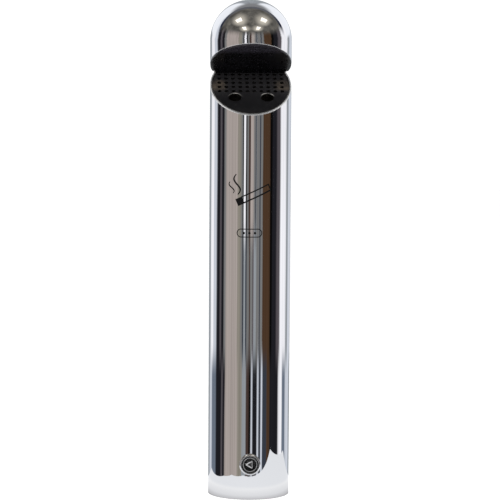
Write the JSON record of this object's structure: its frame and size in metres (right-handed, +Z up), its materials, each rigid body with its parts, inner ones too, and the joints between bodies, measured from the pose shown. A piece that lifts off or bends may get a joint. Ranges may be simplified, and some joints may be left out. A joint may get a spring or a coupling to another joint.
{
  "type": "ashtray bin",
  "caption": "Wall-mounted tubular ashtray bin with a domed head, sloped perforated stub plate, drop holes, and a hinged base hatch held by a triangular-key cam lock.",
  "frame": {"origin": "midpoint between the two wall-screw holes, on the wall plane (the rail's back face)", "axes": "+Z up along the tube, +Y into the wall, the mouth and the lock face -Y, +X to the right of a person facing the bin"},
  "size_m": [0.076, 0.0874, 0.465],
  "materials": {
    "polished_steel": "mirror-polished stainless steel",
    "black_coat": "semi-gloss black powder coat",
    "steel_rivet": "plain stainless",
    "lock_chrome": "bright chrome on die-cast zinc",
    "lock_insert": "dulled chrome",
    "black_rubber": "matte",
    "zinc_plate": "bright zinc plate",
    "screw_steel": "plain stainless",
    "pan_steel": "pressed stainless sheet",
    "galvanised": "galvanised sheet"
  },
  "bodies": {
    "housing": {"body_tube": "polished_steel", "dome_cap": "polished_steel", "stub_plate": "black_coat", "hood_plate": "black_coat", "crease_rivets": "steel_rivet", "insert_rivets": "steel_rivet", "lock_housing": "lock_chrome", "lock_gasket": "black_rubber", "lock_saddle_washer": "zinc_plate", "lock_nut": "zinc_plate", "hinge_bracket": "zinc_plate", "hinge_pin": "steel_rivet", "hinge_rivets": "steel_rivet", "wall_rail": "galvanised", "hook_studs": "zinc_plate", "anti_lift_screw": "screw_steel", "anti_lift_nut": "zinc_plate"},
    "lock": {"lock_rotor": "lock_insert", "lock_cam": "zinc_plate", "cam_washer": "zinc_plate", "cam_screw": "screw_steel"},
    "base_hatch": {"base_pan": "pan_steel", "hinge_leaf": "zinc_plate", "leaf_rivets": "steel_rivet", "hatch_keeper": "zinc_plate", "keeper_rivets": "steel_rivet"}
  },
  "joints": [
    {"name": "lock_turn", "type": "hinge", "parent": "housing", "child": "lock", "pos_m": [0, -0.07605, -0.1865], "axis": [0, 1, 0], "range_deg": [0, 90]},
    {"name": "hatch_swing", "type": "hinge", "parent": "housing", "child": "base_hatch", "pos_m": [0, -0.01605, -0.217], "axis": [1, 0, 0], "range_deg": [0, 95]}
  ]
}
